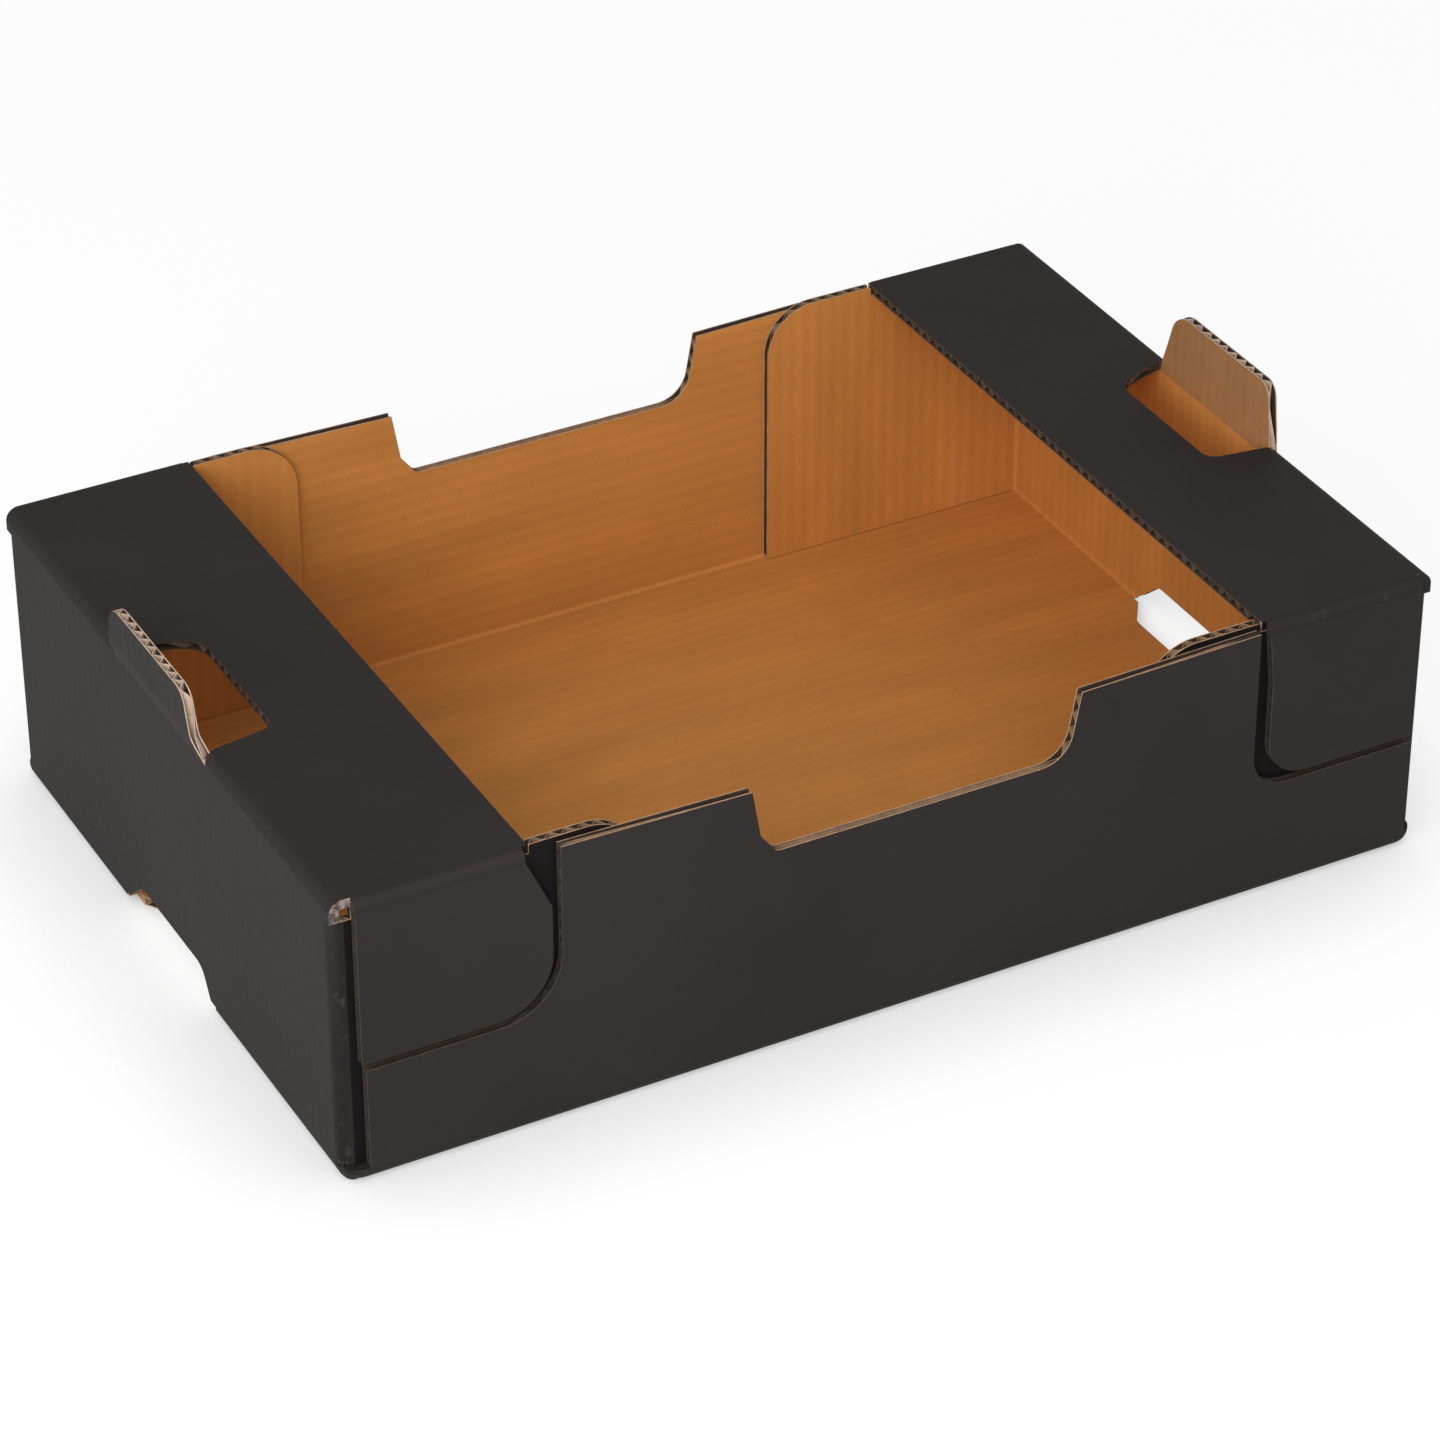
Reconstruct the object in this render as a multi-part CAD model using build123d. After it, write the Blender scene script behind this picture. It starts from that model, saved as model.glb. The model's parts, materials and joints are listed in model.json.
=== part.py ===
from build123d import *
import os

os.makedirs("parts", exist_ok=True)

# A stacking tray, die-cut from one sheet of corrugated board, folded up and glued.
# Millimetres. X runs along the tray, Y across it from front to back, and Z up.
# The origin is the middle of the tray's underside.

# Outside of the tray, without its stacking tabs
length = 600.0
width = 400.0
height = 160.0

# Board, and the outside radius that it takes where it is folded
board = 5.0
fold_radius = 7.0
free_gap = 0.5

# Corners of the floor: plan radius, and height of the web left round them by the die
corner_radius = 11.0
corner_web = 8.0

# Long walls. Heights are from the floor's underside, lengths along X from the tray's middle.
left_wall_set_back = 13.0
right_wall_set_back = 7.5
wing_height = 156.5
wing_slope = 2.0
dip_height = 117.0
dip_steep_side = 85.0
dip_steep_lean = 4.5
dip_chamfer_width = 8.5
dip_chamfer_height = 11.0
dip_chamfer_radius = 4.0
dip_curved_side = 95.0
dip_curved_lean = 7.0
dip_curved_radius = 18.0

# Shelves, folded in from the top of the end walls
shelf_depth = 100.0

# Shelf flaps, folded down outside the glue flaps. Reaches are from the outside of the end wall.
left_flap_set_back = 11.0
right_flap_set_back = 8.0
flap_drop = 92.0
flap_root = 97.0
flap_flare_drop = 35.0
left_flap_reach = 110.0
left_flap_corner = 30.0
right_flap_reach = 94.0
right_flap_corner = 22.0

# Room that the long walls leave round the shelf flaps
flap_foot_gap = 4.0
left_flap_gap = 5.0
left_ledge_corner = 33.0
right_flap_gap = 9.0
right_ledge_corner = 20.0

# Glue flaps, folded in from the sides of the end walls, inside the long walls
shoulder_drop = 12.0
lap_drop = 0.5
lap_step = 1.0
left_lap_reach = 158.0
left_lap_corner = 27.0
right_lap_reach = 164.0
right_lap_corner = 27.0

# Stacking tabs, which stand up in the plane of the end walls. Places are along Y.
tab_height = 33.5
tab_front_foot = -56.0
tab_front_top = -50.0
tab_front_corner = 8.0
tab_back_foot = 50.0
tab_back_top = 37.0
tab_back_corner = 16.0

# A tab leans out from its fold, and bends back upright further up. Angles are from upright.
tab_bend_rise = 17.0
tab_bend_radius = 20.0
left_tab_foot_lean = 20.5
left_tab_top_lean = 3.0
right_tab_foot_lean = 2.0
right_tab_top_lean = 0.5

# Bottom notches, which take the tabs of the tray below. Places are along Y.
notch_height = 22.5
notch_slot_depth = 18.0
notch_front_foot = -47.0
notch_front_top = -34.0
notch_back_foot = 66.0
notch_back_top = 40.0
notch_top_corner = 11.0
notch_foot_flare = 12.0

# Worked out from the sizes above
half_length = length / 2
half_width = width / 2
lap_face = half_width - board
fold_inside = fold_radius - board
fold_height = height - fold_radius
past = 1.0


def outline(corners):
    """A flat shape from its corners, each given as two places and the radius that rounds it."""
    points = [(first, second) for first, second, radius in corners]
    radii = [radius for first, second, radius in corners]
    return make_face(FilletPolyline(*points, radius=radii, close=True))


def rounded_ring(across, along, around):
    """The section of a sheet folded round four sides, as a flat ring."""
    outside = RectangleRounded(across, along, fold_radius)
    inside = RectangleRounded(across - 2 * board, along - 2 * board, fold_inside)
    return around * (outside - inside)


def floor():
    """The floor with the folds round it and the web at its corners."""
    plan = RectangleRounded(length, width, corner_radius)
    tub = extrude(plan, corner_web)
    tub = fillet(tub.faces().sort_by(Axis.Z)[0].edges(), fold_radius)
    hollow_plan = RectangleRounded(length - 2 * board, width - 2 * board, corner_radius - board)
    hollow = extrude(Pos(0, 0, board) * hollow_plan, corner_web)
    hollow = fillet(hollow.faces().sort_by(Axis.Z)[0].edges(), fold_inside)
    return tub - hollow


def end_frame():
    """The band of sheet that makes both end walls and both shelves, up to the glue flaps."""
    section = rounded_ring(length, height, Plane.XZ * Pos(0, height / 2))
    band = extrude(section, lap_face, both=True)
    opening = Pos(0, 0, height) * Box(length - 2 * shelf_depth, width, height)
    shoulder = height - shoulder_drop
    upright_plan = RectangleRounded(length, 2 * lap_face, fold_radius)
    below = extrude(upright_plan, shoulder)
    above = extrude(Pos(0, 0, shoulder) * Rectangle(length, 2 * lap_face), shoulder_drop)
    flat_end = Plane.YZ * Pos(0, height / 2) * Rectangle(width, height)
    round_end = Plane.YZ * Pos(0, height / 2) * RectangleRounded(width, height, fold_radius)
    sides_cut = Pos(-half_length + left_flap_set_back) * extrude(
        flat_end - round_end, length - left_flap_set_back - right_flap_set_back
    )
    return (band & (below + above)) - opening - sides_cut


def long_wall():
    """The front wall: cut round the shelf flaps at its ends, with a dip in the middle."""
    left_wing = -half_length + left_flap_reach + left_flap_gap
    right_wing = half_length - right_flap_reach - right_flap_gap
    left_edge = -half_length + left_wall_set_back
    right_edge = half_length - right_wall_set_back
    ledge = height - flap_drop - flap_foot_gap
    wing_low = wing_height - wing_slope
    steep_foot = -dip_steep_side + dip_steep_lean
    curved_foot = dip_curved_side - dip_curved_lean
    shape = outline([
        (left_edge, fold_radius, 0),
        (left_edge, ledge, 0),
        (left_wing, ledge, left_ledge_corner),
        (left_wing, wing_height, 0),
        (-dip_steep_side, wing_low, 0),
        (steep_foot, dip_height + dip_chamfer_height, dip_chamfer_radius),
        (steep_foot + dip_chamfer_width, dip_height, dip_chamfer_radius),
        (curved_foot, dip_height, dip_curved_radius),
        (dip_curved_side, wing_low, 0),
        (right_wing, wing_height, 0),
        (right_wing, ledge, right_ledge_corner),
        (right_edge, ledge, 0),
        (right_edge, fold_radius, 0),
    ])
    return extrude(Plane.XZ.offset(lap_face) * shape, board)


def glue_flap(set_back, reach, corner):
    """The front glue flap of the left end, with the upright fold that carries it."""
    foot = board + free_gap
    shoulder = height - shoulder_drop
    under_shelf = height - board - free_gap
    top = height - lap_drop
    shape = outline([
        (0, foot, 0),
        (reach, foot, 0),
        (reach, top, corner),
        (shelf_depth + lap_step, top, lap_step),
        (shelf_depth + lap_step, under_shelf, 0),
        (set_back, under_shelf, 0),
        (set_back, shoulder, 0),
        (0, shoulder, 0),
    ])
    slab = extrude(Plane.XZ.offset(lap_face - fold_radius) * Pos(-half_length, 0) * shape, fold_radius)
    ring = extrude(rounded_ring(length, 2 * lap_face, Plane.XY), height)
    return slab & ring


def shelf_flap(set_back, reach, corner):
    """The front flap of the left shelf, with the fold that it hangs from."""
    foot = height - flap_drop
    shape = outline([
        (set_back, fold_height, 0),
        (set_back, foot, 0),
        (reach, foot, corner),
        (reach, height - flap_flare_drop, 0),
        (flap_root, fold_height, 0),
    ])
    plate = extrude(Plane.XZ.offset(lap_face) * Pos(-half_length, 0) * shape, board)
    section = rounded_ring(width, height, Plane.YZ * Pos(0, height / 2))
    fold_ring = extrude(Pos(-half_length + set_back, 0, 0) * section, flap_root - set_back)
    fold_room = Box(length, fold_radius, fold_radius, align=(Align.CENTER, Align.MIN, Align.MIN))
    return plate + (fold_ring & (Pos(0, -half_width, fold_height) * fold_room))


def tab_outline():
    """The die-cut outline of a tab, with the shelf's top at zero height."""
    return outline([
        (tab_front_foot, -fold_radius, 0),
        (tab_front_top, tab_height, tab_front_corner),
        (tab_back_top, tab_height, tab_back_corner),
        (tab_back_foot, -fold_radius, 0),
    ])


def tab(foot_lean, top_lean):
    """The stacking tab of the left end wall, with its fold's middle at the origin until it is placed."""
    bend = Vector(0, tab_bend_rise).rotate(Axis.Z, foot_lean)
    tip = bend + Vector(0, tab_height).rotate(Axis.Z, top_lean)
    middle = FilletPolyline((0, 0), bend, tip, radius=tab_bend_radius)
    strip = extrude(Plane.XZ * trace(middle, board), half_width, both=True)
    face = extrude(Plane.YZ * Pos(0, fold_radius) * tab_outline(), tab_height, both=True)
    knuckle_place = Rot(0, -foot_lean, 0) * Pos(0, (tab_back_foot + tab_front_foot) / 2, 0)
    knuckle = knuckle_place * Rot(90, 0, 0) * Cylinder(board / 2, tab_back_foot - tab_front_foot)
    return Pos(-half_length + board / 2, 0, fold_height) * ((strip & face) + knuckle)


def tab_hole():
    """The hole that a tab leaves in the left shelf and its fold."""
    shelf_side = Plane((-half_length + board, 0, height + past), x_dir=(0, 1, 0), z_dir=(0, 0, -1))
    return extrude(shelf_side * tab_outline(), fold_radius + past)


def notch_outline(depth):
    """Half of the die-cut opening across the bottom crease, from the crease inwards."""
    return outline([
        (notch_front_foot - 2 * notch_foot_flare, -past, 0),
        (notch_front_foot - 2 * notch_foot_flare, 0, 0),
        (notch_front_foot, 0, notch_foot_flare / 2),
        (notch_front_top, depth, notch_top_corner),
        (notch_back_top, depth, notch_top_corner),
        (notch_back_foot, 0, notch_foot_flare),
        (notch_back_foot + 2 * notch_foot_flare, 0, 0),
        (notch_back_foot + 2 * notch_foot_flare, -past, 0),
    ])


def notch():
    """The opening through the left end wall's bottom edge and the floor behind it."""
    through_wall = Plane.YZ.offset(-half_length - past) * notch_outline(notch_height)
    wall_cut = extrude(through_wall, fold_radius + past)
    floor_side = Plane((-half_length, 0, fold_radius), x_dir=(0, 1, 0), z_dir=(0, 0, -1))
    floor_cut = extrude(floor_side * notch_outline(notch_slot_depth), fold_radius + past)
    return wall_cut + floor_cut


def both_sides(piece):
    """A front piece and its mirror image at the back."""
    return piece + mirror(piece, Plane.XZ)


def left_end(set_back, flap, lap):
    """What is folded on to the left end wall, front and back."""
    return both_sides(shelf_flap(set_back, *flap) + glue_flap(set_back, *lap))


sheet = floor() + end_frame() + both_sides(long_wall())
left_flap = (left_flap_reach, left_flap_corner)
left_lap = (left_lap_reach, left_lap_corner)
sheet += left_end(left_flap_set_back, left_flap, left_lap)
right_flap = (right_flap_reach, right_flap_corner)
right_lap = (right_lap_reach, right_lap_corner)
sheet += mirror(left_end(right_flap_set_back, right_flap, right_lap), Plane.YZ)
cuts = tab_hole() + notch()
sheet -= cuts + mirror(cuts, Plane.YZ)
sheet += tab(left_tab_foot_lean, left_tab_top_lean)
sheet += mirror(tab(right_tab_foot_lean, right_tab_top_lean), Plane.YZ)
folded_tray = sheet.solid()
folded_tray.label = "folded_tray"

export_step(folded_tray, "parts/folded_tray.step")
print("solids", len(sheet.solids()), "volume", round(sheet.volume), "valid", folded_tray.is_valid)
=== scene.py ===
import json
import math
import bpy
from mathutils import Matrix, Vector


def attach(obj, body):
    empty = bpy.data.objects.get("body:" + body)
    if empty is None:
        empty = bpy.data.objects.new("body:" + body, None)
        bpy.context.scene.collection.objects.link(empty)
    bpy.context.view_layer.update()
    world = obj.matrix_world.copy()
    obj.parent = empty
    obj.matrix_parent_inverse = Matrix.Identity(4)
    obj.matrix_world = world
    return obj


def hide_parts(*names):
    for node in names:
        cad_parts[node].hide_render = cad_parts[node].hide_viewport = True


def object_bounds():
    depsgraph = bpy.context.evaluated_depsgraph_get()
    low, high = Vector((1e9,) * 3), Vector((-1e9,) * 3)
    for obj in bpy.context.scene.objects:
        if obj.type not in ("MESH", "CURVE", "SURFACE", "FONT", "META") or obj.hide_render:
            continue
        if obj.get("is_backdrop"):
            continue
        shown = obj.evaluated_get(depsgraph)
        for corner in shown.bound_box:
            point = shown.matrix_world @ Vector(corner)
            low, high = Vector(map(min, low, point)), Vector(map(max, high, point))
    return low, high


bl_info = {
    "name": "Corrugated Stacking Tray",
    "version": (1, 0, 0),
    "blender": (4, 5, 0),
    "location": "View3D > Sidebar > Tray",
    "description": "Dresses the packed stacking tray as printed corrugated board with open flutes",
    "category": "Object",
}

from functools import partial, reduce

import bmesh
import bpy
from bpy.props import FloatProperty, FloatVectorProperty, PointerProperty
from mathutils import Euler, Matrix, Vector, noise

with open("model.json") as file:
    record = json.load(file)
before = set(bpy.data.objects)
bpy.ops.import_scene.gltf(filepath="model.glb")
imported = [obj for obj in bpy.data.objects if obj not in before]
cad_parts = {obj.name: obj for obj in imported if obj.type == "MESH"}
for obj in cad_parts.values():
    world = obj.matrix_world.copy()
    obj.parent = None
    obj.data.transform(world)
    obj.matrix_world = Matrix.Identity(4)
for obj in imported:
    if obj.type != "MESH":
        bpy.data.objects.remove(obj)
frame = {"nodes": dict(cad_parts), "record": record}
cad_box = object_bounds()

TRAY = "folded_tray"
BODY = "root"
X, Y, Z = 0, 1, 2

# Signs of the left and right ends along X, and of the front and back walls along Y
ENDS = (-1, 1)
WALLS = (-1, 1)

# Slots of the folded board's faces, in the order of its materials
PRINT, KRAFT, EDGE, INKED, FRESH, LINING_SHADE, SHADED, TORN, RECESS_SHADE, TAB_FACE, SHELF_EDGE = range(11)

# Room given to a test of place, and to a cut that runs past the board
NEAR = 0.0001
PAST = 0.0015

# Distance at which a mesh's points are merged, and the size and number of points below which a
# shell is a loose scrap
MERGED = 0.00001
SCRAP = 0.003
SCRAP_POINTS = 5

# Least parts of a face's normal: along an axis for a face square to it, along the way out of the
# sheet for either side of the board, and along Y and up for the cut edges of a tab
SQUARE = 0.9995
SHEET_SIDE = 0.8
TAB_EDGE_ALONG_Y = 0.3
TAB_EDGE_UP = 0.8

# Folds bent in steps smaller than this are shaded round
SHARP = math.radians(32)

# Steps in the mesh of the fluted paper, along one wave and up a tab
STEPS_PER_FLUTE = 10
STEPS_UP_TAB = 14

# How often a wave strays along an edge, per metre, and what sets each panel's waves apart
STRAYS = 60
PANEL_SEED = (7, 9)

# A mix node's sockets for two colours and for their mixture
FIRST_COLOUR, SECOND_COLOUR, MIXED_COLOUR = 6, 7, 2

# The studio: half the floor's side, the key lamp's side and what it faces, and the camera's reach
FLOOR_REACH = 8.0
KEY_SIDE = 1.6
KEY_AIM = (0.0, 0.0, 0.08)
SENSOR_WIDTH = 36.0
CAMERA_REACH = 100.0
WHITE = (1.0, 1.0, 1.0, 1.0)


def shelf_height():
    """The height of the shelves, which the record gives as a mount."""
    mounts = frame["record"]["mounts"]
    return next(mount["pos_m"][Z] for mount in mounts if mount["name"] == "left_shelf_top")


def length_size(name, description, default):
    """A size in metres that the panel lists."""
    return FloatProperty(
        name=name, description=description, default=default, precision=4, unit="LENGTH"
    )


def angle(name, description, degrees):
    """An angle that the panel lists."""
    return FloatProperty(
        name=name, description=description, default=math.radians(degrees), unit="ROTATION"
    )


def colour(name, description, default):
    """A colour that the panel lists."""
    return FloatVectorProperty(
        name=name,
        description=description,
        default=default,
        size=3,
        min=0.0,
        max=1.0,
        subtype="COLOR",
    )


class TraySizes(bpy.types.PropertyGroup):
    """Outside of the tray and the places of its folds, shelves, flaps and tabs."""

    length: length_size("Length", "Outside length, without the tabs", 0.600)
    width: length_size("Width", "Outside width", 0.400)
    height: length_size("Height", "Height of the shelves' tops", shelf_height())
    board: length_size("Board", "Thickness of the board", 0.005)
    fold_radius: length_size("Fold radius", "Outside radius of every fold", 0.007)
    floor_web: length_size("Floor web", "Height of the web left at the floor's corners", 0.008)
    shelf_depth: length_size("Shelf depth", "Reach of both shelves into the mouth", 0.100)
    shoulder_drop: length_size("Shoulder drop", "How far below the shelf the end folds stop", 0.012)
    left_flap_reach: length_size("Left flap reach", "Far edge of the left shelf flaps", 0.110)
    right_flap_reach: length_size("Right flap reach", "Far edge of the right shelf flaps", 0.094)
    left_flap_gap: length_size("Left flap gap", "Gap from a left shelf flap to the wall", 0.005)
    right_flap_gap: length_size("Right flap gap", "Gap from a right shelf flap to the wall", 0.009)
    left_lap_reach: length_size("Left lap reach", "Far edge of the left glue flaps", 0.158)
    right_lap_reach: length_size("Right lap reach", "Far edge of the right glue flaps", 0.164)
    lap_step: length_size("Lap step", "Gap between a shelf and a glue flap's upper part", 0.001)
    tab_front: length_size("Tab front", "Front of a tab's foot", -0.056)
    tab_back: length_size("Tab back", "Back of a tab's foot", 0.050)
    tab_height: length_size("Tab height", "Height of a tab above the shelf", 0.0335)
    tab_bend_rise: length_size("Tab bend", "Height up a tab at which it bends back", 0.017)
    tab_bend_radius: length_size("Tab bend radius", "Radius of the bend in a tab", 0.020)
    left_tab_foot_lean: angle("Left foot lean", "How far the left tab's foot leans out", 20.5)
    left_tab_top_lean: angle("Left top lean", "How far the left tab's top leans out", 3.0)
    right_tab_foot_lean: angle("Right foot lean", "How far the right tab's foot leans out", 2.0)
    right_tab_top_lean: angle("Right top lean", "How far the right tab's top leans out", 0.5)


class BoardMakeup(bpy.types.PropertyGroup):
    """What the corrugated board is made of."""

    liner: length_size("Liner", "Thickness of each liner", 0.0006)
    pitch: length_size("Flute pitch", "Length of one flute wave", 0.0082)
    medium: length_size("Medium", "Thickness of the fluted paper", 0.00032)
    unevenness: length_size("Unevenness", "How far a crushed wave strays along the edge", 0.0011)


class Finishes(bpy.types.PropertyGroup):
    """Colours of the print and of the papers."""

    print_colour: colour("Print", "Black print on the outside", (0.0187, 0.0148, 0.0145))
    # Painted light: the inside's kraft is brighter and warmer than the tabs' copy of the same paper,
    # standing in for warm light bounced inside
    kraft_warm_lit_colour: colour("Kraft", "Plain liner inside the tray", (0.6, 0.24, 0.047))
    tab_colour: colour("Tab liner", "Duller plain liner on the tabs", (0.39, 0.178, 0.06))
    edge_colour: colour("Cut edge", "Cut edges along the walls' tops", (0.5, 0.31, 0.18))
    shelf_edge_colour: colour("Shelf edge", "Cut edges of the shelves", (0.09, 0.055, 0.035))
    inked_colour: colour(
        "Inked edge", "Printed liner's edges round the flaps", (0.085, 0.068, 0.058)
    )
    # Painted shade: cut edges in the gaps round the flaps are given a near-black colour
    shaded_colour: colour(
        "Shaded edge", "Cut edges in the gaps round the flaps", (0.03, 0.02, 0.014)
    )
    torn_colour: colour("Torn edge", "Torn paper at the left shelf's corners", (0.19, 0.145, 0.125))
    fresh_colour: colour("Fresh edge", "Clean cut edges of the tabs", (0.6, 0.44, 0.33))
    medium_colour: colour("Medium", "Fluted paper between the liners", (0.27, 0.16, 0.09))
    # Painted shade: the fluted paper in the gaps round the flaps is darkened
    gap_shade_medium_colour: colour("Dusky medium", "Fluted paper round the flaps", (0.032, 0.024, 0.019))
    # Painted shade: the liners' inner faces inside the flute channels are near-black
    lining_shade_colour: colour(
        "Lining", "Inner faces of the liners, between the flutes", (0.05, 0.03, 0.018)
    )
    scuff_colour: colour("Scuff", "Grey-brown paper where the print is rubbed", (0.13, 0.1, 0.085))
    scuffing: FloatProperty(
        name="Scuffing",
        description="How much of the print is rubbed off along the folds",
        default=0.6,
        min=0.0,
        max=1.0,
        subtype="FACTOR",
    )


class Studio(bpy.types.PropertyGroup):
    """Camera, light and floor."""

    camera_place: FloatVectorProperty(
        name="Camera place",
        description="Where the camera stands",
        default=(-1.06369, -2.00081, 1.54938),
        subtype="TRANSLATION",
    )
    camera_turn: FloatVectorProperty(
        name="Camera turn",
        description="Which way the camera looks",
        default=tuple(math.radians(a) for a in (56.5454, 0.0795, -28.1509)),
        subtype="EULER",
    )
    lens: FloatProperty(name="Lens", description="Focal length", default=132.908, unit="CAMERA")
    key_place: FloatVectorProperty(
        name="Key place",
        description="Where the main lamp hangs",
        default=(-1.38, -1.46, 1.3),
        subtype="TRANSLATION",
    )
    key_power: FloatProperty(name="Key", description="Power of the main lamp", default=44.0)
    fill: FloatProperty(name="Fill", description="Strength of the light all round", default=0.55)
    floor_colour: colour("Floor", "Pale floor", (0.86, 0.86, 0.86))


# The parts of the sheet


def tab_leans(sizes, end):
    """How far a tab leans out at its foot and above its bend."""
    if end < 0:
        return sizes.left_tab_foot_lean, sizes.left_tab_top_lean
    return sizes.right_tab_foot_lean, sizes.right_tab_top_lean


def stand_tab(sizes, end, flat):
    """Where a point of the flat tab goes: out from its middle, along Y, and up from its fold."""
    foot, top = tab_leans(sizes, end)
    turn = foot - top
    start = sizes.tab_bend_rise - sizes.tab_bend_radius * math.tan(turn / 2)
    bent = min(max((flat.z - start) / sizes.tab_bend_radius, 0.0), turn)
    lean = foot - bent
    straight = min(flat.z, start)
    rest = max(flat.z - start - sizes.tab_bend_radius * turn, 0.0)
    out = straight * math.sin(foot) + rest * math.sin(top) + flat.x * math.cos(lean)
    out += sizes.tab_bend_radius * (math.cos(lean) - math.cos(foot))
    up = straight * math.cos(foot) + rest * math.cos(top) - flat.x * math.sin(lean)
    up += sizes.tab_bend_radius * (math.sin(foot) - math.sin(lean))
    fold = ((sizes.length - sizes.board) / 2, sizes.height - sizes.fold_radius)
    return Vector((end * (fold[0] + out), flat.y, fold[1] + up))


class Panel:
    """The open inside of a stretch of board: a box, and the axes its flutes run and repeat on."""

    def __init__(self, group, along, across, spans, bend=None):
        self.group = group
        self.along = along
        self.across = across
        self.up = X + Y + Z - along - across
        self.low = Vector([min(span) for span in spans])
        self.high = Vector([max(span) for span in spans])
        self.bend = bend


def flap_room(sizes, end):
    """How far from one end the room reaches that the long walls leave round its shelf flaps."""
    if end < 0:
        return sizes.left_flap_reach + sizes.left_flap_gap
    return sizes.right_flap_reach + sizes.right_flap_gap


def lap_reach(sizes, end):
    """How far the glue flaps of one end reach from it."""
    return sizes.left_lap_reach if end < 0 else sizes.right_lap_reach


def shelf_edge(sizes):
    """Where the shelves' panels end: midway in the gap before the glue flaps' upper parts."""
    return sizes.length / 2 - sizes.shelf_depth - sizes.lap_step / 2


def flat_panels(sizes, makeup):
    """The panels whose board is open at a cut edge. None of them meets another.

    They stop just short of the folds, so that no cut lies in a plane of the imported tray.
    """
    half_length, half_width = sizes.length / 2, sizes.width / 2
    radius, height = sizes.fold_radius + NEAR, sizes.height
    inner = (makeup.liner, sizes.board - makeup.liner)
    lap = [sizes.board + depth for depth in inner]
    side = half_width - radius
    panels = [
        Panel("floor", X, Y, ((radius - half_length, half_length - radius), (-side, side), inner))
    ]
    for end in ENDS:
        shelf = (end * (half_length - radius), end * shelf_edge(sizes))
        end_wall = [end * (half_length - depth) for depth in inner]
        between_laps = half_width - sizes.board - radius
        tab = [depth - sizes.board / 2 for depth in inner]
        panels += [
            Panel("shelves", X, Y, (shelf, (-side, side), [height - depth for depth in inner])),
            Panel(
                "end_walls",
                Z,
                Y,
                (end_wall, (-between_laps, between_laps), (radius, height - radius)),
            ),
            Panel(
                "tabs",
                Z,
                Y,
                (
                    tab,
                    (sizes.tab_front - PAST, sizes.tab_back + PAST),
                    (radius / 2, radius + sizes.tab_height + sizes.board),
                ),
                partial(stand_tab, sizes, end),
            ),
        ]
        for wall in WALLS:
            lap_end = half_length - lap_reach(sizes, end) - PAST
            lap_length = (end * (half_length - radius), end * lap_end)
            lap_height = (radius, height - sizes.board - 2 * makeup.liner)
            lap_layer = [wall * (half_width - depth) for depth in lap]
            panels.append(Panel("glue_flaps", Z, X, (lap_length, lap_layer, lap_height)))
    for wall in WALLS:
        wall_end = half_length - radius + PAST
        wall_layer = [wall * (half_width - depth) for depth in inner]
        wall_height = (sizes.floor_web + NEAR, height - radius)
        panels.append(Panel("long_walls", X, Z, ((-wall_end, wall_end), wall_layer, wall_height)))
    return panels


def open_tops(sizes, makeup, overlap):
    """The upper parts of the long walls and glue flaps, which carry on the panels below them."""
    half_length, half_width = sizes.length / 2, sizes.width / 2
    inner = (makeup.liner, sizes.board - makeup.liner)
    wall_rise = (sizes.height - sizes.fold_radius - overlap, sizes.height + PAST)
    lap_rise = (sizes.height - sizes.board - 2 * makeup.liner - overlap, sizes.height + PAST)
    wings = (
        sizes.left_flap_reach + sizes.left_flap_gap / 2 - half_length,
        half_length - sizes.right_flap_reach - sizes.right_flap_gap / 2,
    )
    panels = []
    for wall in WALLS:
        wall_layer = [wall * (half_width - depth) for depth in inner]
        lap_layer = [wall * (half_width - sizes.board - depth) for depth in inner]
        panels.append(Panel("long_walls", X, Z, (wings, wall_layer, wall_rise)))
        for end in ENDS:
            lap_end = half_length - lap_reach(sizes, end) - PAST
            lap_length = (end * shelf_edge(sizes), end * lap_end)
            panels.append(Panel("glue_flaps", Z, X, (lap_length, lap_layer, lap_rise)))
    return panels


def below_outside(point, sizes):
    """The way from the sheet's core to its outside at a point, and the depth below the outside.

    The end walls' upright folds lie a board's thickness further in than the long walls. In the
    mouth between the shelves there is no sheet overhead, so the way never points up.
    """
    half = Vector((sizes.length / 2, sizes.width / 2, sizes.height / 2))
    height = point.z - half.z
    shoulder = sizes.height - sizes.shoulder_drop
    if abs(point.y) < half.y - sizes.board + NEAR and sizes.fold_radius < point.z < shoulder:
        half.y -= sizes.board
    reach = [
        abs(point.x) - half.x + sizes.fold_radius,
        abs(point.y) - half.y + sizes.fold_radius,
        abs(height) - half.z + sizes.fold_radius,
    ]
    if abs(point.x) < half.x - sizes.shelf_depth - NEAR and height > 0:
        reach[Z] = -half.z
    away = Vector([max(value, 0.0) for value in reach])
    depth = sizes.fold_radius - away.length
    if away.length < NEAR:
        away[reach.index(max(reach))] = 1.0
    signs = (point.x, point.y, height)
    way = [math.copysign(value, sign) for value, sign in zip(away, signs)]
    return Vector(way).normalized(), depth


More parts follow.
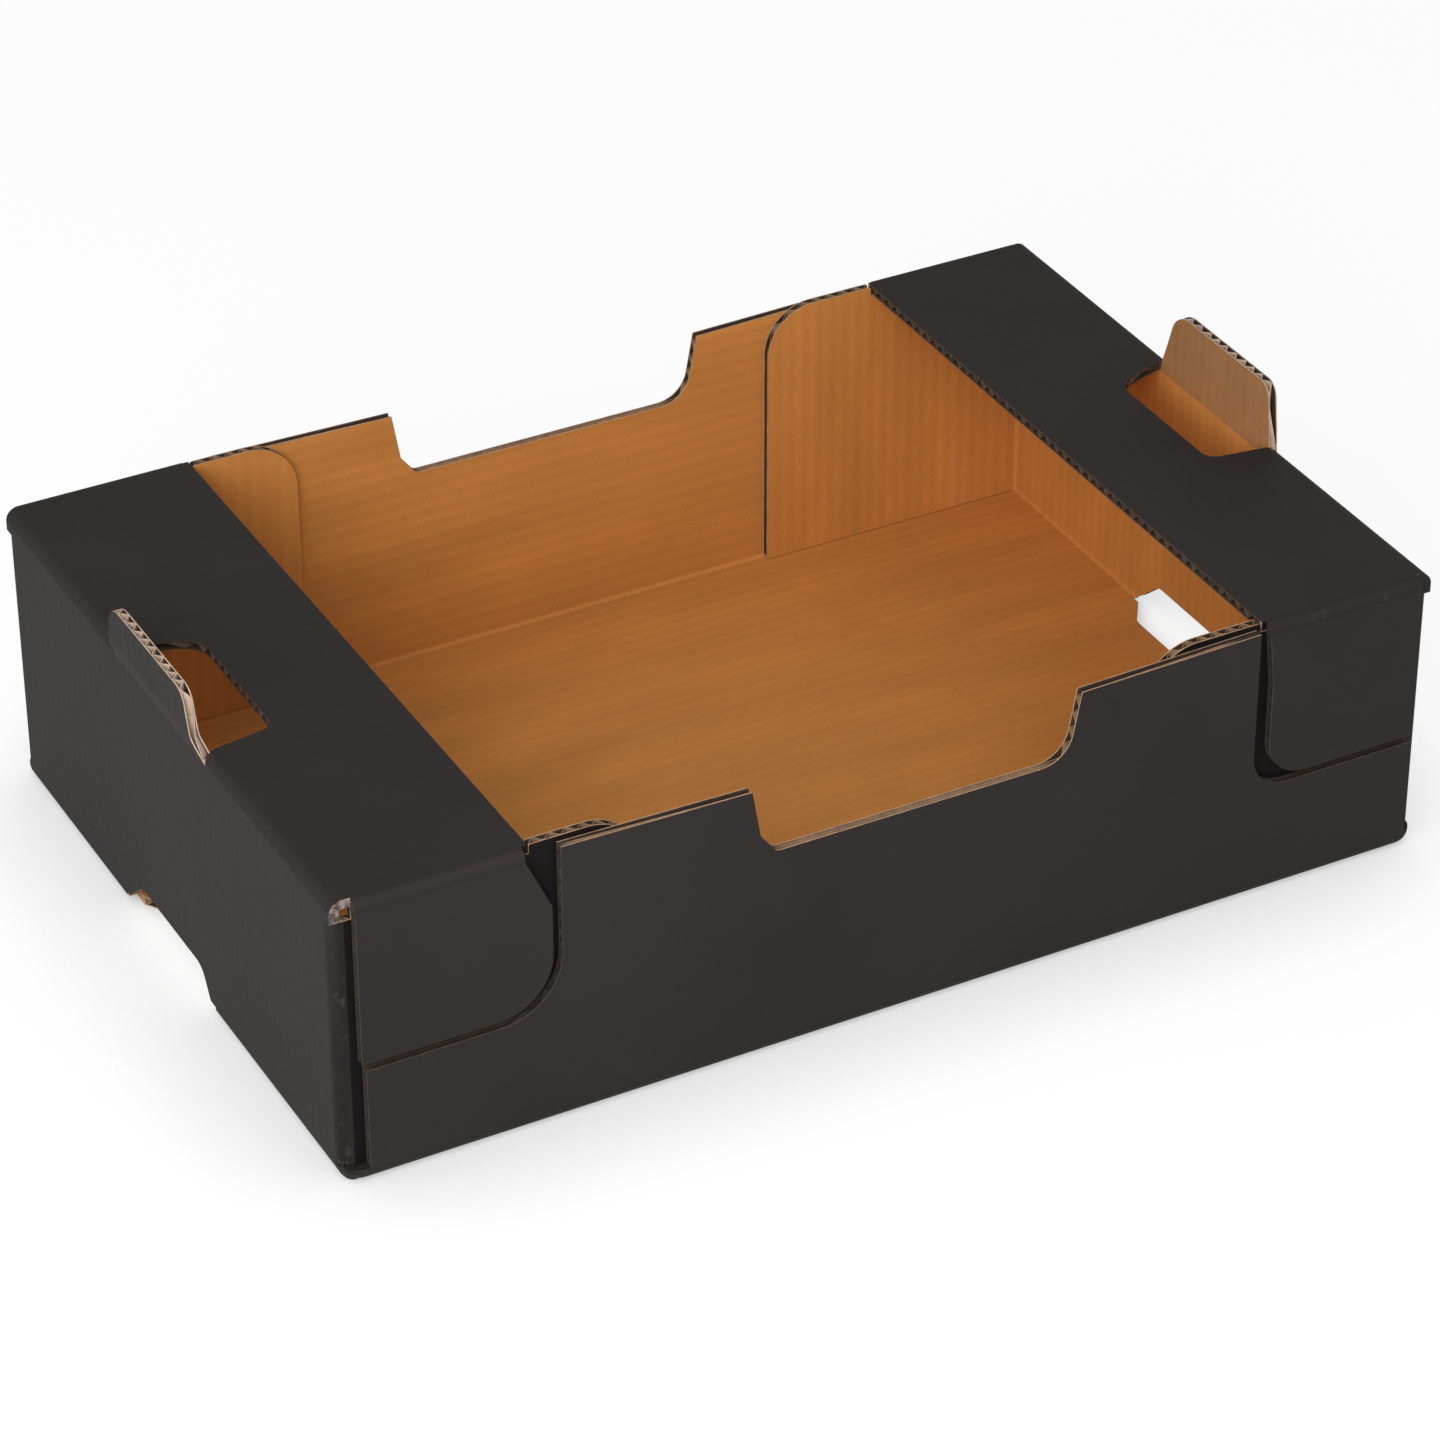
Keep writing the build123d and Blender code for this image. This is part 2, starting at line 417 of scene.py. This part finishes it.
def flat_slot(point, normal, sizes):
    """The slot of a face that lies square to the tray, or None where it doesn't.

    A glue flap's outside shows in the gaps round the shelf flaps, and is darkened there with
    painted shade. Above the shoulders of the ends it is lighter, and the left end's shoulders are torn.
    """
    axis = max(range(3), key=lambda i: abs(normal[i]))
    if abs(normal[axis]) < SQUARE:
        return None
    half = (sizes.length / 2, sizes.width / 2, sizes.height / 2)[axis]
    place = point[axis] - (half if axis == Z else 0.0)
    depth = half - abs(place)
    outward = place * normal[axis] > 0
    if outward and abs(depth) < NEAR:
        return PRINT
    if not outward and abs(depth - sizes.board) < NEAR:
        return KRAFT
    if axis == Z and abs(point.z - sizes.floor_web) < NEAR:
        return PRINT
    if axis == Y and outward and abs(depth - sizes.board) < NEAR:
        at_end = abs(point.x) > sizes.length / 2 - 2 * sizes.fold_radius
        if at_end and point.z > sizes.height - sizes.shoulder_drop:
            return TORN if point.x < 0 else PRINT
        # Painted shade: the glue flap's print in the gap gets the darkened recess material
        return RECESS_SHADE
    if axis == Y and not outward and abs(depth - 2 * sizes.board) < NEAR:
        return KRAFT
    return cut_slot(point, sizes)


def cut_slot(point, sizes):
    """The slot of a cut edge: dusky on the shelves, dark with painted shade round their flaps, and plain
    elsewhere.

    The web at the floor's corners has no cut edge that shows, and is printed.
    """
    from_end = sizes.length / 2 - abs(point.x)
    from_side = sizes.width / 2 - abs(point.y)
    if max(from_end, from_side) < 2 * sizes.fold_radius and point.z < sizes.floor_web:
        return PRINT
    on_shelf = point.z > sizes.height - sizes.board - NEAR and from_end < sizes.shelf_depth + NEAR
    if on_shelf and from_side > sizes.fold_radius:
        return SHELF_EDGE
    by_flap = from_end < flap_room(sizes, point.x) + NEAR
    return SHADED if from_side < sizes.board + NEAR and by_flap else EDGE


def tab_slot(point, normal, sizes):
    """The slot of a face of a tab, or None where the face isn't on one."""
    side = math.copysign(1.0, point.x)
    within = abs(point.x) > sizes.length / 2 - sizes.board - NEAR
    above = point.z > sizes.height - sizes.fold_radius - sizes.board / 2 - NEAR
    if not (within and above and sizes.tab_front - NEAR < point.y < sizes.tab_back + NEAR):
        return None
    if abs(normal.y) > TAB_EDGE_ALONG_Y or normal.z > TAB_EDGE_UP:
        return FRESH
    return PRINT if normal.x * side > 0 else TAB_FACE


def face_slot(face, sizes):
    """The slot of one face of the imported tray, and whether it lies on a fold."""
    point, normal = face.calc_center_median(), face.normal
    on_tab = tab_slot(point, normal, sizes)
    if on_tab is not None:
        return on_tab, False
    flat = flat_slot(point, normal, sizes)
    if flat is not None:
        return flat, False
    facing = normal.dot(below_outside(point, sizes)[0])
    if abs(facing) < SHEET_SIDE:
        return cut_slot(point, sizes), False
    return (PRINT if facing > 0 else KRAFT), True


def ridge_share(point, sizes):
    """How near a point of a fold is to its ridge: 0 where the sheet starts to bend, 1 midway."""
    second, first = sorted(abs(value) for value in below_outside(point, sizes)[0])[1:]
    return (2 * first * second) ** 2


def unfold(point, face_point, normal, sizes):
    """A point's place on the flat sheet: across the flutes, then along them.

    Along the sides two sheets lie face to face, and the depth tells which one a face belongs to.
    """
    way, depth = below_outside(face_point, sizes)
    axis = max(range(3), key=lambda i: abs(way[i]))
    if axis == Y:
        depth = sizes.width / 2 - abs(face_point.y)
        lap = depth > sizes.board * (0.5 if way.dot(normal) > 0 else 1.5)
        return (point.x, point.z) if lap else (point.z, point.x)
    return (point.y, point.z) if axis == X else (point.y, point.x)


# Making meshes


def add_object(name, mesh, materials):
    """Puts a mesh in the scene with its materials."""
    piece = bpy.data.objects.new(name, mesh)
    bpy.context.scene.collection.objects.link(piece)
    for material in materials:
        mesh.materials.append(material)
    return piece


def new_mesh(name, bm):
    """Turns a bmesh into a mesh."""
    mesh = bpy.data.meshes.new(name)
    bm.to_mesh(mesh)
    bm.free()
    return mesh


def block_mesh(panel):
    """The box of a panel, bent where its board is."""
    bm = bmesh.new()
    middle = Matrix.Translation((panel.low + panel.high) / 2)
    size = Matrix.Diagonal((*(panel.high - panel.low), 1.0))
    bmesh.ops.create_cube(bm, size=1.0, matrix=middle @ size)
    if panel.bend:
        rise = [e for e in bm.edges if abs(e.verts[0].co.z - e.verts[1].co.z) > NEAR]
        bmesh.ops.subdivide_edges(bm, edges=rise, cuts=STEPS_UP_TAB, use_grid_fill=True)
        for vert in bm.verts:
            vert.co = panel.bend(vert.co)
    bmesh.ops.recalc_face_normals(bm, faces=bm.faces)
    return new_mesh("block", bm)


def add_ribbon(bm, panel, makeup):
    """Adds a panel's fluted paper: a strip rippled across the flutes, then given its thickness."""
    size = panel.high - panel.low
    middle = (panel.low + panel.high) / 2
    seed = (middle.x * PANEL_SEED[0], middle.y * PANEL_SEED[1])
    steps = max(2, round(size[panel.across] / makeup.pitch * STEPS_PER_FLUTE))
    rows = STEPS_UP_TAB if panel.bend else 1
    strip = bmesh.ops.create_grid(bm, x_segments=steps, y_segments=rows, size=0.5)["verts"]
    rise = size[panel.up] / 2 - makeup.medium / 2
    for vert in strip:
        place = Vector()
        place[panel.across] = middle[panel.across] + vert.co.x * size[panel.across]
        place[panel.along] = middle[panel.along] + vert.co.y * size[panel.along]
        stray = noise.noise(Vector((place[panel.across] * STRAYS, *seed)))
        phase = (place[panel.across] + makeup.unevenness * stray) / makeup.pitch
        place[panel.up] = middle[panel.up] + rise * math.sin(2 * math.pi * phase)
        vert.co = place
    faces = list({face for vert in strip for face in vert.link_faces})
    bm.normal_update()
    thick = bmesh.ops.solidify(bm, geom=faces, thickness=makeup.medium)["geom"]
    if panel.bend:
        for vert in {item for item in thick if isinstance(item, bmesh.types.BMVert)} | set(strip):
            vert.co = panel.bend(vert.co)


def ribbons_mesh(name, panels, makeup):
    """The fluted paper of some panels, before it is trimmed to their outline."""
    bm = bmesh.new()
    for panel in panels:
        add_ribbon(bm, panel, makeup)
    bmesh.ops.recalc_face_normals(bm, faces=bm.faces)
    return new_mesh(name, bm)


def blocks_object(name, panels, slot):
    """One cutter with a box for each panel."""
    bm = bmesh.new()
    for panel in panels:
        block = block_mesh(panel)
        bm.from_mesh(block)
        bpy.data.meshes.remove(block)
    for face in bm.faces:
        face.material_index = slot
    return add_object(name, new_mesh(name, bm), [])


def carve(piece, cutter, operation):
    """Replaces a piece's mesh by its cut with another object."""
    cut = piece.modifiers.new("cut", "BOOLEAN")
    cut.operation = operation
    cut.object = cutter
    cut.solver = "EXACT"
    bpy.context.view_layer.update()
    evaluated = piece.evaluated_get(bpy.context.evaluated_depsgraph_get())
    mesh = bpy.data.meshes.new_from_object(evaluated)
    piece.modifiers.clear()
    piece.data = mesh
    if not mesh.polygons:
        raise RuntimeError(f"cutting {piece.name} left nothing")


def drop(piece):
    """Removes a cutter once it has done its work."""
    bpy.data.objects.remove(piece)


def islands(bm):
    """The separate shells of a mesh, each as a list of its points."""
    left = set(bm.verts)
    while left:
        shell = [left.pop()]
        for vert in shell:
            for edge in vert.link_edges:
                other = edge.other_vert(vert)
                if other in left:
                    left.remove(other)
                    shell.append(other)
        yield shell


def sweep(bm):
    """Merges the doubled points that cuts leave, and removes slivers and loose scraps.

    The faces become triangles first, since a long face can hide a sliver.
    """
    bmesh.ops.remove_doubles(bm, verts=bm.verts, dist=MERGED)
    bmesh.ops.triangulate(bm, faces=bm.faces)
    bmesh.ops.dissolve_degenerate(bm, edges=bm.edges, dist=MERGED)
    scraps = []
    for shell in islands(bm):
        spans = [[vert.co[axis] for vert in shell] for axis in range(3)]
        size = max(max(span) - min(span) for span in spans)
        if len(shell) < SCRAP_POINTS or size < SCRAP:
            scraps += shell
    bmesh.ops.delete(bm, geom=scraps, context="VERTS")


def sweep_mesh(mesh):
    """Sweeps a finished mesh."""
    bm = bmesh.new()
    bm.from_mesh(mesh)
    sweep(bm)
    bm.to_mesh(mesh)
    bm.free()


def packed_tray(name, sizes, materials):
    """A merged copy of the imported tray, its faces sorted into slots and marked on the folds."""
    mesh = frame["nodes"][TRAY].data.copy()
    mesh.materials.clear()
    bm = bmesh.new()
    bm.from_mesh(mesh)
    bmesh.ops.remove_doubles(bm, verts=bm.verts, dist=MERGED)
    bmesh.ops.dissolve_degenerate(bm, edges=bm.edges, dist=MERGED)
    fold = bm.faces.layers.float.new("fold")
    for face in bm.faces:
        face.smooth = False
        if materials:
            face.material_index, on_fold = face_slot(face, sizes)
            face[fold] = float(on_fold)
    bm.to_mesh(mesh)
    bm.free()
    return add_object(name, mesh, materials)


def finish_board(mesh, sizes, makeup):
    """Inks the printed liner's cut edges, rounds the folds and maps all faces to the flat sheet."""
    bm = bmesh.new()
    bm.from_mesh(mesh)
    sweep(bm)
    fold = bm.faces.layers.float.get("fold")
    if fold is None:
        raise RuntimeError("the cuts lost the marks on the folds")
    sheet = bm.loops.layers.uv.new("sheet")
    ridge = bm.loops.layers.float.new("ridge")
    for face in bm.faces:
        face.smooth = True
        middle = face.calc_center_median()
        if face.material_index == SHADED and below_outside(middle, sizes)[1] < makeup.liner:
            face.material_index = INKED
        for loop in face.loops:
            loop[sheet].uv = unfold(loop.vert.co, middle, face.normal, sizes)
            loop[ridge] = face[fold] * ridge_share(loop.vert.co, sizes)
    for edge in bm.edges:
        meets = {face.material_index for face in edge.link_faces}
        edge.smooth = edge.calc_face_angle(math.pi) < SHARP and len(meets) == 1
    bm.to_mesh(mesh)
    bm.free()


# Materials


class Tree:
    """The nodes of a new material or world, added and linked in one call each."""

    def __init__(self, owner, output="ShaderNodeOutputMaterial"):
        self.owner = owner
        self.owner.use_nodes = True
        self.nodes = self.owner.node_tree.nodes
        self.links = self.owner.node_tree.links
        self.nodes.clear()
        self.output = self.add(output)

    def add(self, kind, settings=None, **inputs):
        """Adds a node. A value that is a socket is linked, and any other is set."""
        node = self.nodes.new(kind)
        for name, value in (settings or {}).items():
            setattr(node, name, value)
        for name, value in inputs.items():
            self.put(node.inputs[name.replace("_", " ")], value)
        return node

    def put(self, socket, value):
        """Links or sets one socket."""
        if isinstance(value, bpy.types.NodeSocket):
            self.links.new(value, socket)
        else:
            socket.default_value = value

    def maths(self, operation, first, second=0.0):
        """Works out one number from one or two."""
        node = self.add("ShaderNodeMath", {"operation": operation})
        self.put(node.inputs[0], first)
        self.put(node.inputs[1], second)
        return node.outputs[0]

    def mix(self, factor, first, second, blend="MIX"):
        """Mixes two colours."""
        node = self.add("ShaderNodeMix", {"data_type": "RGBA", "blend_type": blend})
        self.put(node.inputs["Factor"], factor)
        self.put(node.inputs[FIRST_COLOUR], first)
        self.put(node.inputs[SECOND_COLOUR], second)
        return node.outputs[MIXED_COLOUR]

    def between(self, value, low, high, start=0.0, stop=1.0):
        """Stretches a number from one range to another, held at both ends."""
        limits = {"From_Min": low, "From_Max": high, "To_Min": start, "To_Max": stop}
        return self.add("ShaderNodeMapRange", **limits, Value=value).outputs["Result"]

    def noise(self, place, scale, detail=3.0, roughness=0.55):
        """A noise field over some coordinates."""
        node = self.add(
            "ShaderNodeTexNoise", Vector=place, Scale=scale, Detail=detail, Roughness=roughness
        )
        return node.outputs["Fac"]

    def stretched(self, place, scale):
        """Coordinates stretched by a scale on each axis."""
        return self.add("ShaderNodeMapping", Vector=place, Scale=scale).outputs["Vector"]

    def body_place(self):
        """Where a point lies in the tray, in metres."""
        return self.add("ShaderNodeTexCoord").outputs["Object"]

    def sheet_place(self):
        """Where a point lies on the flat sheet: across the flutes, then along them."""
        return self.add("ShaderNodeUVMap", {"uv_map": "sheet"}).outputs["UV"]

    def washboard(self, pitch):
        """The ripple that the flutes leave in a liner, from -1 to 1."""
        across = self.add("ShaderNodeSeparateXYZ", Vector=self.sheet_place()).outputs["X"]
        return self.maths("SINE", self.maths("MULTIPLY", across, 2 * math.pi / pitch))

    def relief(self, *layers):
        """Adds up fields, each scaled to its depth in metres."""
        depths = [self.maths("MULTIPLY", field, depth) for field, depth in layers]
        return reduce(partial(self.maths, "ADD"), depths)

    def seen_rays(self):
        """1 for rays from the camera, straight or through glass, and 0 for light's own."""
        rays = self.add("ShaderNodeLightPath").outputs
        return self.maths("MAXIMUM", rays["Is Camera Ray"], rays["Is Transmission Ray"])

    def close(self, shader):
        """Ends the tree with its shader."""
        self.put(self.output.inputs["Surface"], shader.outputs[0])
        return self.owner

    def coat(self, height, **inputs):
        """Ends the tree with a shader of some inputs, and a bump whose height is in metres."""
        bump = self.add("ShaderNodeBump", Strength=1.0, Distance=1.0, Height=height)
        normal = bump.outputs["Normal"]
        return self.close(self.add("ShaderNodeBsdfPrincipled", **inputs, Normal=normal))


def shade(base, factor):
    """A colour made lighter or darker, with its alpha."""
    return (*(min(1.0, channel * factor) for channel in base), 1.0)


def printed_board(name, finishes, makeup, tone=1.0, sheen=0.22):
    """Black print on kraft: faint flutes, a mottled matt film, and rubbed upright folds darkened with
    painted shade.

    The tone scales all its colours, and the sheen is the film's specular level.
    """
    tree = Tree(bpy.data.materials.new(name))
    ink_colour = [channel * tone for channel in finishes.print_colour]
    scuff_colour = shade(finishes.scuff_colour, tone)
    place, sheet = tree.body_place(), tree.sheet_place()
    ripple = tree.washboard(makeup.pitch)

    # The ink film, thinner along the fibres
    mottle = tree.noise(place, 9.0, 4.0)
    fibre = tree.noise(tree.stretched(sheet, (320.0, 1500.0, 1.0)), 1.0, 4.0, 0.6)
    ink = tree.mix(
        tree.between(mottle, 0.3, 0.7),
        shade(ink_colour, 0.88),
        shade(ink_colour, 1.14),
    )
    ink = tree.mix(tree.between(fibre, 0.52, 0.8, 0.0, 0.35), ink, shade(ink_colour, 1.9))

    # Spots rubbed off a fold's ridge, mostly where it stands upright
    ridge = tree.add("ShaderNodeAttribute", {"attribute_name": "ridge"}).outputs["Fac"]
    rubbing = tree.noise(place, 150.0, 5.0, 0.7)
    patches = tree.noise(place, 14.0, 2.0)
    worn = tree.maths(
        "MULTIPLY",
        tree.between(rubbing, 0.56, 0.66),
        tree.between(patches, 0.45, 0.62),
    )
    worn = tree.maths("MULTIPLY", worn, tree.maths("MULTIPLY", ridge, finishes.scuffing))
    facing = tree.add("ShaderNodeTexCoord").outputs["Normal"]
    tilt = tree.maths("ABSOLUTE", tree.add("ShaderNodeSeparateXYZ", Vector=facing).outputs["Z"])
    worn = tree.maths("MULTIPLY", worn, tree.between(tilt, 0.15, 0.5, 1.0, 0.15))

    # Folds are paler along their ridges; where they stand upright their print is darkened as painted
    # shade
    paler_ridge = tree.maths("MULTIPLY", tree.maths("POWER", ridge, 3.0), 0.05)
    ink = tree.mix(paler_ridge, ink, scuff_colour)
    upright = tree.between(tilt, 0.1, 0.3, 0.8, 0.0)
    upright_fold_shade = tree.maths("MULTIPLY", upright, tree.maths("POWER", ridge, 0.5))
    ink = tree.mix(upright_fold_shade, ink, shade(ink_colour, 0.1))

    # Flecks where the ink missed the paper
    flecks = tree.between(tree.noise(place, 420.0, 2.0, 0.5), 0.74, 0.8, 0.0, 0.25)
    ink = tree.mix(tree.maths("MAXIMUM", worn, flecks), ink, scuff_colour)
    return tree.coat(
        tree.relief((ripple, 0.000018), (fibre, 0.00006), (mottle, 0.0006)),
        Base_Color=ink,
        Roughness=tree.between(fibre, 0.2, 0.8, 0.56, 0.74),
        Specular_IOR_Level=sheen,
    )


def kraft_liner(name, base, makeup):
    """Plain brown liner: streaks along the flutes, fibres, mottling and the flutes' own ripple, whose
    darkening is painted shade.
    """
    tree = Tree(bpy.data.materials.new(name))
    place, sheet = tree.body_place(), tree.sheet_place()
    ripple = tree.washboard(makeup.pitch)
    mottle = tree.noise(place, 16.0, 4.0, 0.6)
    streaks = tree.noise(tree.stretched(sheet, (34.0, 6.0, 1.0)), 1.0, 2.0, 0.45)
    fibre = tree.noise(tree.stretched(sheet, (260.0, 1700.0, 1.0)), 1.0, 5.0, 0.65)
    paper = tree.mix(tree.between(streaks, 0.28, 0.72), shade(base, 0.84), shade(base, 1.08))
    paper = tree.mix(tree.between(mottle, 0.38, 0.68, 0.0, 0.5), paper, shade(base, 0.84))
    paper = tree.mix(tree.between(fibre, 0.35, 0.75, 0.0, 0.4), paper, shade(base, 0.62))
    # Painted shade: the ripple darkens the colour along the flutes, standing in for light on its relief
    paper = tree.mix(tree.between(ripple, -1.0, 1.0, 0.0, 0.16), paper, shade(base, 0.6))
    return tree.coat(
        tree.relief((ripple, 0.00005), (fibre, 0.00007), (mottle, 0.0004)),
        Base_Color=paper,
        Roughness=tree.between(fibre, 0.2, 0.8, 0.72, 0.9),
    )


def cut_paper(name, base, spread=0.15, middle=None, reach=0.0):
    """Paper at a die-cut edge, with torn fibres, in a tone that varies by the given spread.

    A second colour may be given for the tray's middle, as far along X as the reach.
    """
    tree = Tree(bpy.data.materials.new(name))
    place = tree.body_place()
    fuzz = tree.noise(place, 900.0, 4.0, 0.7)
    tint = tree.noise(place, 60.0 + 400.0 * spread, 2.0)
    paper = shade(base, 1.0)
    if middle is not None:
        along = tree.add("ShaderNodeSeparateXYZ", Vector=place).outputs["X"]
        outside = tree.between(tree.maths("ABSOLUTE", along), reach - 0.01, reach)
        paper = tree.mix(outside, shade(middle, 1.0), paper)
    tone = tree.between(tint, 0.35, 0.65, 1 - spread, 1 + spread)
    tone = tree.maths("MULTIPLY", tone, tree.between(fuzz, 0.4, 0.7, 1.0, 0.75))
    paper = tree.mix(1.0, paper, tone, "MULTIPLY")
    return tree.coat(
        tree.relief((fuzz, 0.0002)),
        Base_Color=paper,
        Roughness=tree.between(fuzz, 0.3, 0.7, 0.85, 0.97),
    )


# Operators


class TRAY_OT_folded_board(bpy.types.Operator):
    """Make the folded sheet: both liners of every panel, printed outside and plain inside"""

    bl_idname = "tray.folded_board"
    bl_label = "Folded board"

    def execute(self, context):
        scene = context.scene
        sizes, makeup, finishes = scene.tray_sizes, scene.tray_makeup, scene.tray_finishes
        materials = [
            printed_board("black_print", finishes, makeup),
            kraft_liner("kraft_liner", finishes.kraft_warm_lit_colour, makeup),
            cut_paper("cut_edge", finishes.edge_colour),
            cut_paper("inked_edge", finishes.inked_colour),
            cut_paper("fresh_edge", finishes.fresh_colour),
            # Painted shade: near-black liner faces inside the flute channels
            cut_paper("inner_liner", finishes.lining_shade_colour),
            # Painted shade: near-black cut edges in the gaps round the flaps
            cut_paper("shaded_edge", finishes.shaded_colour),
            cut_paper("torn_edge", finishes.torn_colour, spread=0.7),
            # Painted shade: darker, duller print for the glue flaps' outsides in the gaps
            printed_board("recessed_print", finishes, makeup, tone=0.36, sheen=0.1),
            # The same kraft as the inside's, without its painted warm light
            kraft_liner("tab_liner", finishes.tab_colour, makeup),
            cut_paper("shelf_edge", finishes.shelf_edge_colour),
        ]
        board = packed_tray("folded_board", sizes, materials)
        # The tops overlap the panels below them, so each kind is a cut of its own
        rooms = {"panels": flat_panels(sizes, makeup), "tops": open_tops(sizes, makeup, PAST)}
        for name, panels in rooms.items():
            cutter = blocks_object(name, panels, LINING_SHADE)
            carve(board, cutter, "DIFFERENCE")
            drop(cutter)
        finish_board(board.data, sizes, makeup)
        weighted = board.modifiers.new("even_shading", "WEIGHTED_NORMAL")
        weighted.keep_sharp = True
        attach(board, BODY)
        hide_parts(TRAY)
        return {"FINISHED"}


class TRAY_OT_fluting(bpy.types.Operator):
    """Fill the open board with its fluted paper, trimmed to the outline of every panel"""

    bl_idname = "tray.fluting"
    bl_label = "Fluting"

    def execute(self, context):
        scene = context.scene
        sizes, makeup, finishes = scene.tray_sizes, scene.tray_makeup, scene.tray_finishes
        plain = cut_paper("fluted_medium", finishes.medium_colour)
        papers = {
            # Painted shade: the long walls' fluted paper is darkened in the gaps round the flaps
            "long_walls": cut_paper(
                "wall_medium",
                finishes.gap_shade_medium_colour,
                middle=finishes.medium_colour,
                reach=sizes.length / 2 - flap_room(sizes, -1),
            ),
            "shelves": cut_paper("shelf_medium", finishes.shelf_edge_colour, spread=0.4),
            "tabs": cut_paper("tab_medium", finishes.fresh_colour),
        }
        trimmer = packed_tray("trimmer", sizes, [])
        panels = flat_panels(sizes, makeup) + open_tops(sizes, makeup, -NEAR)
        for group in sorted({panel.group for panel in panels}):
            name = "fluting_" + group
            mesh = ribbons_mesh(name, [panel for panel in panels if panel.group == group], makeup)
            ribbon = add_object(name, mesh, [papers.get(group, plain)])
            carve(ribbon, trimmer, "INTERSECT")
            sweep_mesh(ribbon.data)
            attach(ribbon, BODY)
        drop(trimmer)
        return {"FINISHED"}


class TRAY_OT_stage(bpy.types.Operator):
    """Set up the floor, the light and the camera"""

    bl_idname = "tray.stage"
    bl_label = "Stage"

    def execute(self, context):
        studio = context.scene.tray_studio
        self.lay_floor(studio)
        self.light_world(context, studio)
        self.hang_key(context, studio)
        self.place_camera(context, studio)
        context.scene.view_settings.view_transform = "Standard"
        return {"FINISHED"}

    def lay_floor(self, studio):
        """A wide pale floor that keeps the tray's shadow, and whose glow is darkened near the tray as a
        painted contact shadow.
        """
        bm = bmesh.new()
        bmesh.ops.create_grid(bm, x_segments=1, y_segments=1, size=FLOOR_REACH)
        bmesh.ops.translate(bm, vec=(0, 0, -NEAR), verts=bm.verts)
        tree = Tree(bpy.data.materials.new("studio_floor"))
        paint = tree.add("ShaderNodeBsdfDiffuse", Color=shade(studio.floor_colour, 1.0))
        # Painted shadow: ambient occlusion darkens the floor's glow near the tray
        painted_contact_shadow = tree.add("ShaderNodeAmbientOcclusion", {"samples": 8}, Distance=0.1)
        strength = tree.between(painted_contact_shadow.outputs["AO"], 0.0, 0.9, 0.5, 1.06)
        glow = tree.add("ShaderNodeEmission", Color=WHITE, Strength=strength)
        both = tree.add("ShaderNodeMixShader")
        share_of_glow = tree.maths("MULTIPLY", tree.seen_rays(), 0.8)
        for socket, value in zip(both.inputs, (share_of_glow, paint.outputs[0], glow.outputs[0])):
            tree.put(socket, value)
        add_object("studio_floor", new_mesh("studio_floor", bm), [tree.close(both)])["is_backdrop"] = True

    def light_world(self, context, studio):
        """Soft light all round, which the camera sees as white."""
        tree = Tree(bpy.data.worlds.new("studio_world"), "ShaderNodeOutputWorld")
        strength = tree.between(tree.seen_rays(), 0.0, 1.0, studio.fill, 1.0)
        sky = tree.add("ShaderNodeBackground", Color=WHITE, Strength=strength)
        context.scene.world = tree.close(sky)

    def hang_key(self, context, studio):
        """A large, square, soft lamp off the left end, which faces the tray."""
        data = bpy.data.lights.new("key", "AREA")
        data.energy = studio.key_power
        data.size = KEY_SIDE
        lamp = bpy.data.objects.new("key", data)
        lamp.location = studio.key_place
        way = Vector(KEY_AIM) - Vector(studio.key_place)
        lamp.rotation_euler = way.to_track_quat("-Z", "Y").to_euler()
        context.scene.collection.objects.link(lamp)

    def place_camera(self, context, studio):
        """The camera, at the photograph's angle."""
        data = bpy.data.cameras.new("camera")
        data.lens = studio.lens
        data.sensor_width = SENSOR_WIDTH
        data.clip_end = CAMERA_REACH
        camera = bpy.data.objects.new("camera", data)
        camera.location = studio.camera_place
        camera.rotation_euler = Euler(studio.camera_turn)
        context.scene.collection.objects.link(camera)
        context.scene.camera = camera


class TRAY_PT_panel(bpy.types.Panel):
    """Steps and sizes of the tray"""

    bl_label = "Stacking tray"
    bl_idname = "TRAY_PT_panel"
    bl_space_type = "VIEW_3D"
    bl_region_type = "UI"
    bl_category = "Tray"

    def draw(self, context):
        scene = context.scene
        for operator in OPERATORS:
            self.layout.operator(operator.bl_idname)
        for group in GROUPS:
            box = self.layout.box()
            settings = getattr(scene, group)
            for name in settings.bl_rna.properties.keys():
                if name not in ("rna_type", "name"):
                    box.prop(settings, name)


OPERATORS = (TRAY_OT_folded_board, TRAY_OT_fluting, TRAY_OT_stage)
GROUPS = {
    "tray_sizes": TraySizes,
    "tray_makeup": BoardMakeup,
    "tray_finishes": Finishes,
    "tray_studio": Studio,
}


def register():
    """Registers the settings, the operators and the panel."""
    for name, group in GROUPS.items():
        bpy.utils.register_class(group)
        setattr(bpy.types.Scene, name, PointerProperty(type=group))
    for item in (*OPERATORS, TRAY_PT_panel):
        bpy.utils.register_class(item)


def unregister():
    """Takes away what register added."""
    for item in reversed((*OPERATORS, TRAY_PT_panel)):
        bpy.utils.unregister_class(item)
    for name, group in GROUPS.items():
        delattr(bpy.types.Scene, name)
        bpy.utils.unregister_class(group)


def main():
    """Builds the tray and its stage."""
    register()
    bpy.ops.tray.folded_board()
    bpy.ops.tray.fluting()
    bpy.ops.tray.stage()
    boxes = {"cad": cad_box, "visual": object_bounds()}
    {name: [list(corner) for corner in box] for name, box in boxes.items()}


if __name__ == "__main__":
    main()
